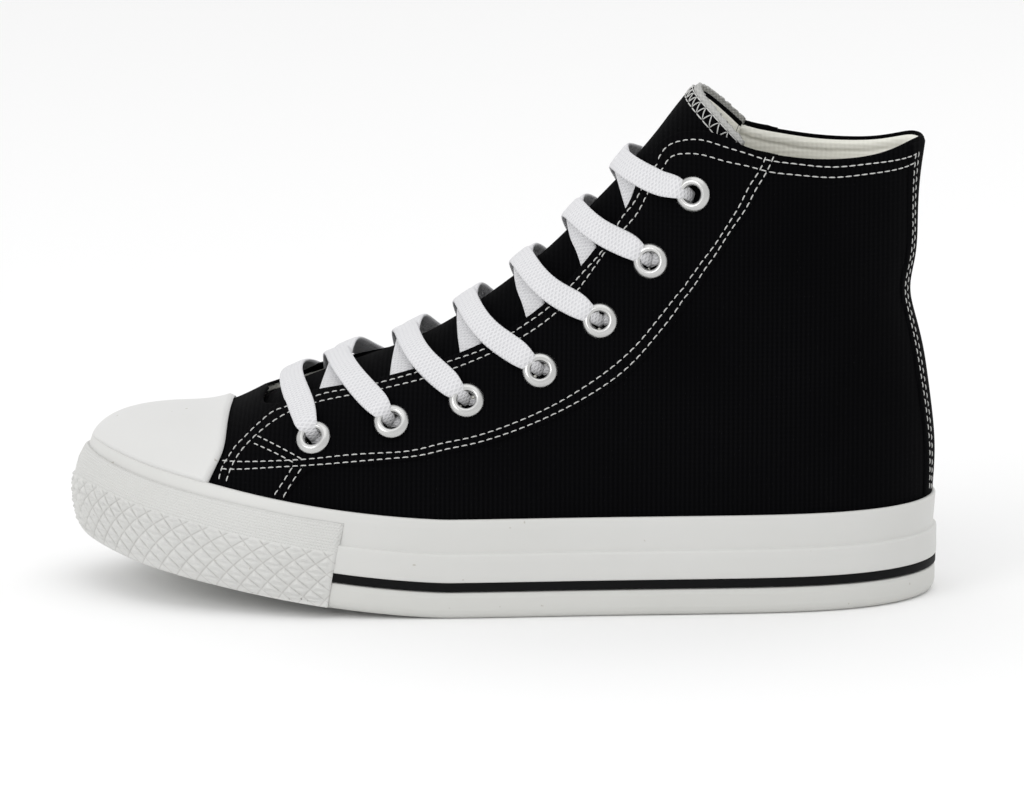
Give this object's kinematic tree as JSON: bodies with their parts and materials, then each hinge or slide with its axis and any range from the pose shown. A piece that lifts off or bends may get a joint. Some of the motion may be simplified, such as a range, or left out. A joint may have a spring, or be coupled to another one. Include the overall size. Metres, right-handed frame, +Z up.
{
  "type": "high top sneaker",
  "caption": "Left high top canvas sneaker with rubber toe cap, toe bumper, striped rubber sidewall, metal eyelets and flat laces, standing empty.",
  "frame": {"origin": "on the floor, under the middle of the shoe's box", "axes": "+X towards the toe, +Y towards the outer (lateral) side of the left foot, +Z up"},
  "size_m": [0.2766, 0.103, 0.1628],
  "materials": {
    "canvas": "matt woven",
    "lining": "matt woven",
    "sidewall_rubber": "satin",
    "stripe_rubber": "satin",
    "outsole_rubber": "satin",
    "insole_foam": "matt",
    "eyelet_metal": "polished",
    "lace_cotton": "matt braided",
    "thread": "matt"
  },
  "bodies": {
    "root": {"outsole": "outsole_rubber", "foxing": "sidewall_rubber", "pinstripe": "stripe_rubber", "toe_bumper": "sidewall_rubber", "toe_cap": "sidewall_rubber", "upper": "canvas", "tongue": "canvas", "insole": "insole_foam", "eyelet_lateral_1": "eyelet_metal", "eyelet_medial_1": "eyelet_metal", "eyelet_lateral_2": "eyelet_metal", "eyelet_medial_2": "eyelet_metal", "eyelet_lateral_3": "eyelet_metal", "eyelet_medial_3": "eyelet_metal", "eyelet_lateral_4": "eyelet_metal", "eyelet_medial_4": "eyelet_metal", "eyelet_lateral_5": "eyelet_metal", "eyelet_medial_5": "eyelet_metal", "eyelet_lateral_6": "eyelet_metal", "eyelet_medial_6": "eyelet_metal", "eyelet_lateral_7": "eyelet_metal", "eyelet_medial_7": "eyelet_metal", "lace_bar": "lace_cotton", "lace_crossing_1": "lace_cotton", "lace_crossing_2": "lace_cotton", "lace_crossing_3": "lace_cotton", "lace_crossing_4": "lace_cotton", "lace_crossing_5": "lace_cotton", "lace_crossing_6": "lace_cotton"}
  },
  "joints": []
}
